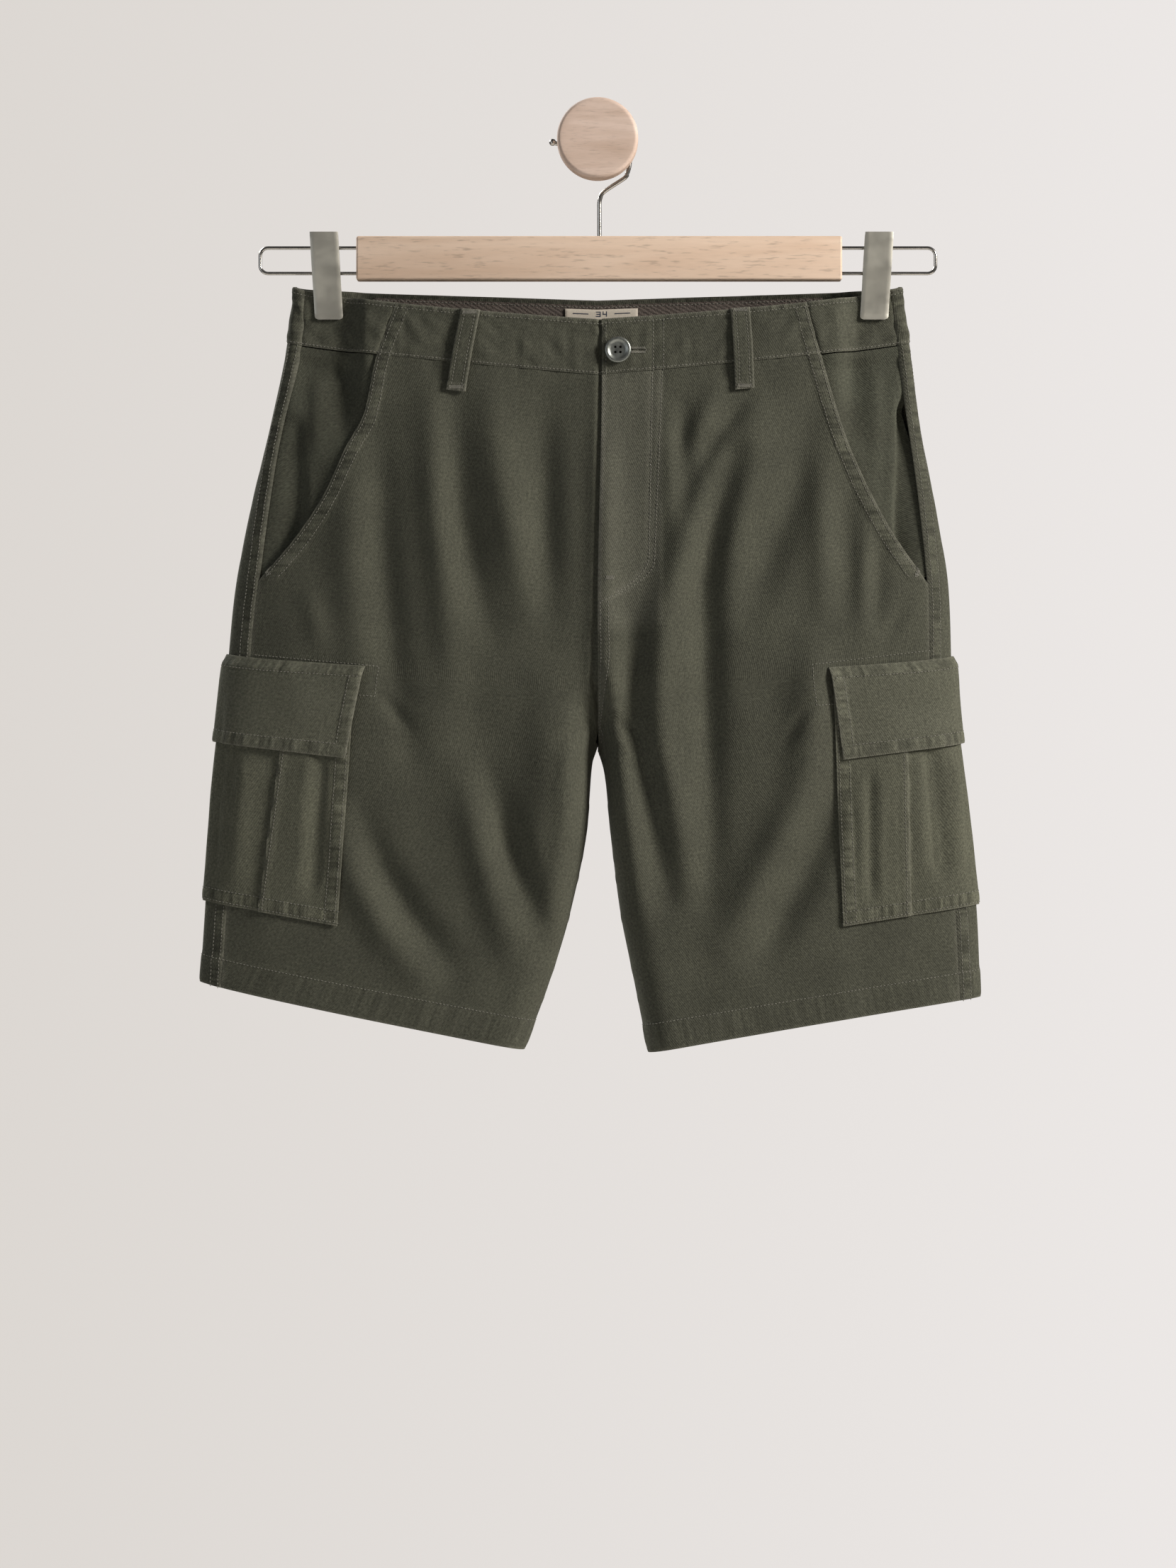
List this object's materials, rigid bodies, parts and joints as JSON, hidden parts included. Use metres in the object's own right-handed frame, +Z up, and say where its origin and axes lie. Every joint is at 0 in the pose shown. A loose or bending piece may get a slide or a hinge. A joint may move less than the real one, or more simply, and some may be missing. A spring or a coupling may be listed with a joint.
{
  "type": "cargo shorts on a clip hanger and wooden wall knob",
  "caption": "Knee-length cotton cargo shorts with flapped side pockets, clipped by the waistband to a wooden bar hanger that hooks over a round wall knob.",
  "frame": {"origin": "centre of the flat back face of the wall knob's stem, on the wall", "axes": "+X to the viewer's right (the wearer's left), +Y into the wall, +Z up; the shorts hang down -Z in front of the wall"},
  "size_m": [0.5811, 0.0575, 0.7067],
  "materials": {
    "cloth": "garment-dyed cotton twill, matt",
    "pocket_cloth": "the same cotton twill, in the shade of the pocket",
    "tape": "woven herringbone cotton tape",
    "label": "woven label, cream",
    "button": "grey cast metal button",
    "bar_wood": "steamed beech, fine sanded",
    "knob_wood": "turned beech end grain, fine sanded",
    "wire": "bright drawn steel wire",
    "clip_steel": "satin plated sheet steel"
  },
  "bodies": {
    "root": {"front_panel_right": "cloth", "back_panel_right": "cloth", "waistband_front_right": "cloth", "waistband_side_right": "cloth", "pocket_facing_right": "pocket_cloth", "cargo_pocket_right": "cloth", "cargo_flap_right": "cloth", "front_panel_left": "cloth", "back_panel_left": "cloth", "waistband_front_left": "cloth", "waistband_side_left": "cloth", "pocket_facing_left": "pocket_cloth", "cargo_pocket_left": "cloth", "cargo_flap_left": "cloth", "waistband_back": "cloth", "fly_shield": "cloth", "belt_loop_front_right": "cloth", "belt_loop_front_left": "cloth", "belt_loop_back_right": "cloth", "belt_loop_back_centre": "cloth", "belt_loop_back_left": "cloth", "waist_tape": "tape", "size_label": "label", "waist_button": "button", "hanger_bar": "bar_wood", "hanger_hook": "wire", "wall_knob_disc": "knob_wood", "wall_knob_stem": "knob_wood", "end_loop_right": "wire", "clip_front_jaw_right": "clip_steel", "clip_back_jaw_right": "clip_steel", "clip_spring_right": "wire", "end_loop_left": "wire", "clip_front_jaw_left": "clip_steel", "clip_back_jaw_left": "clip_steel", "clip_spring_left": "wire"}
  },
  "joints": []
}
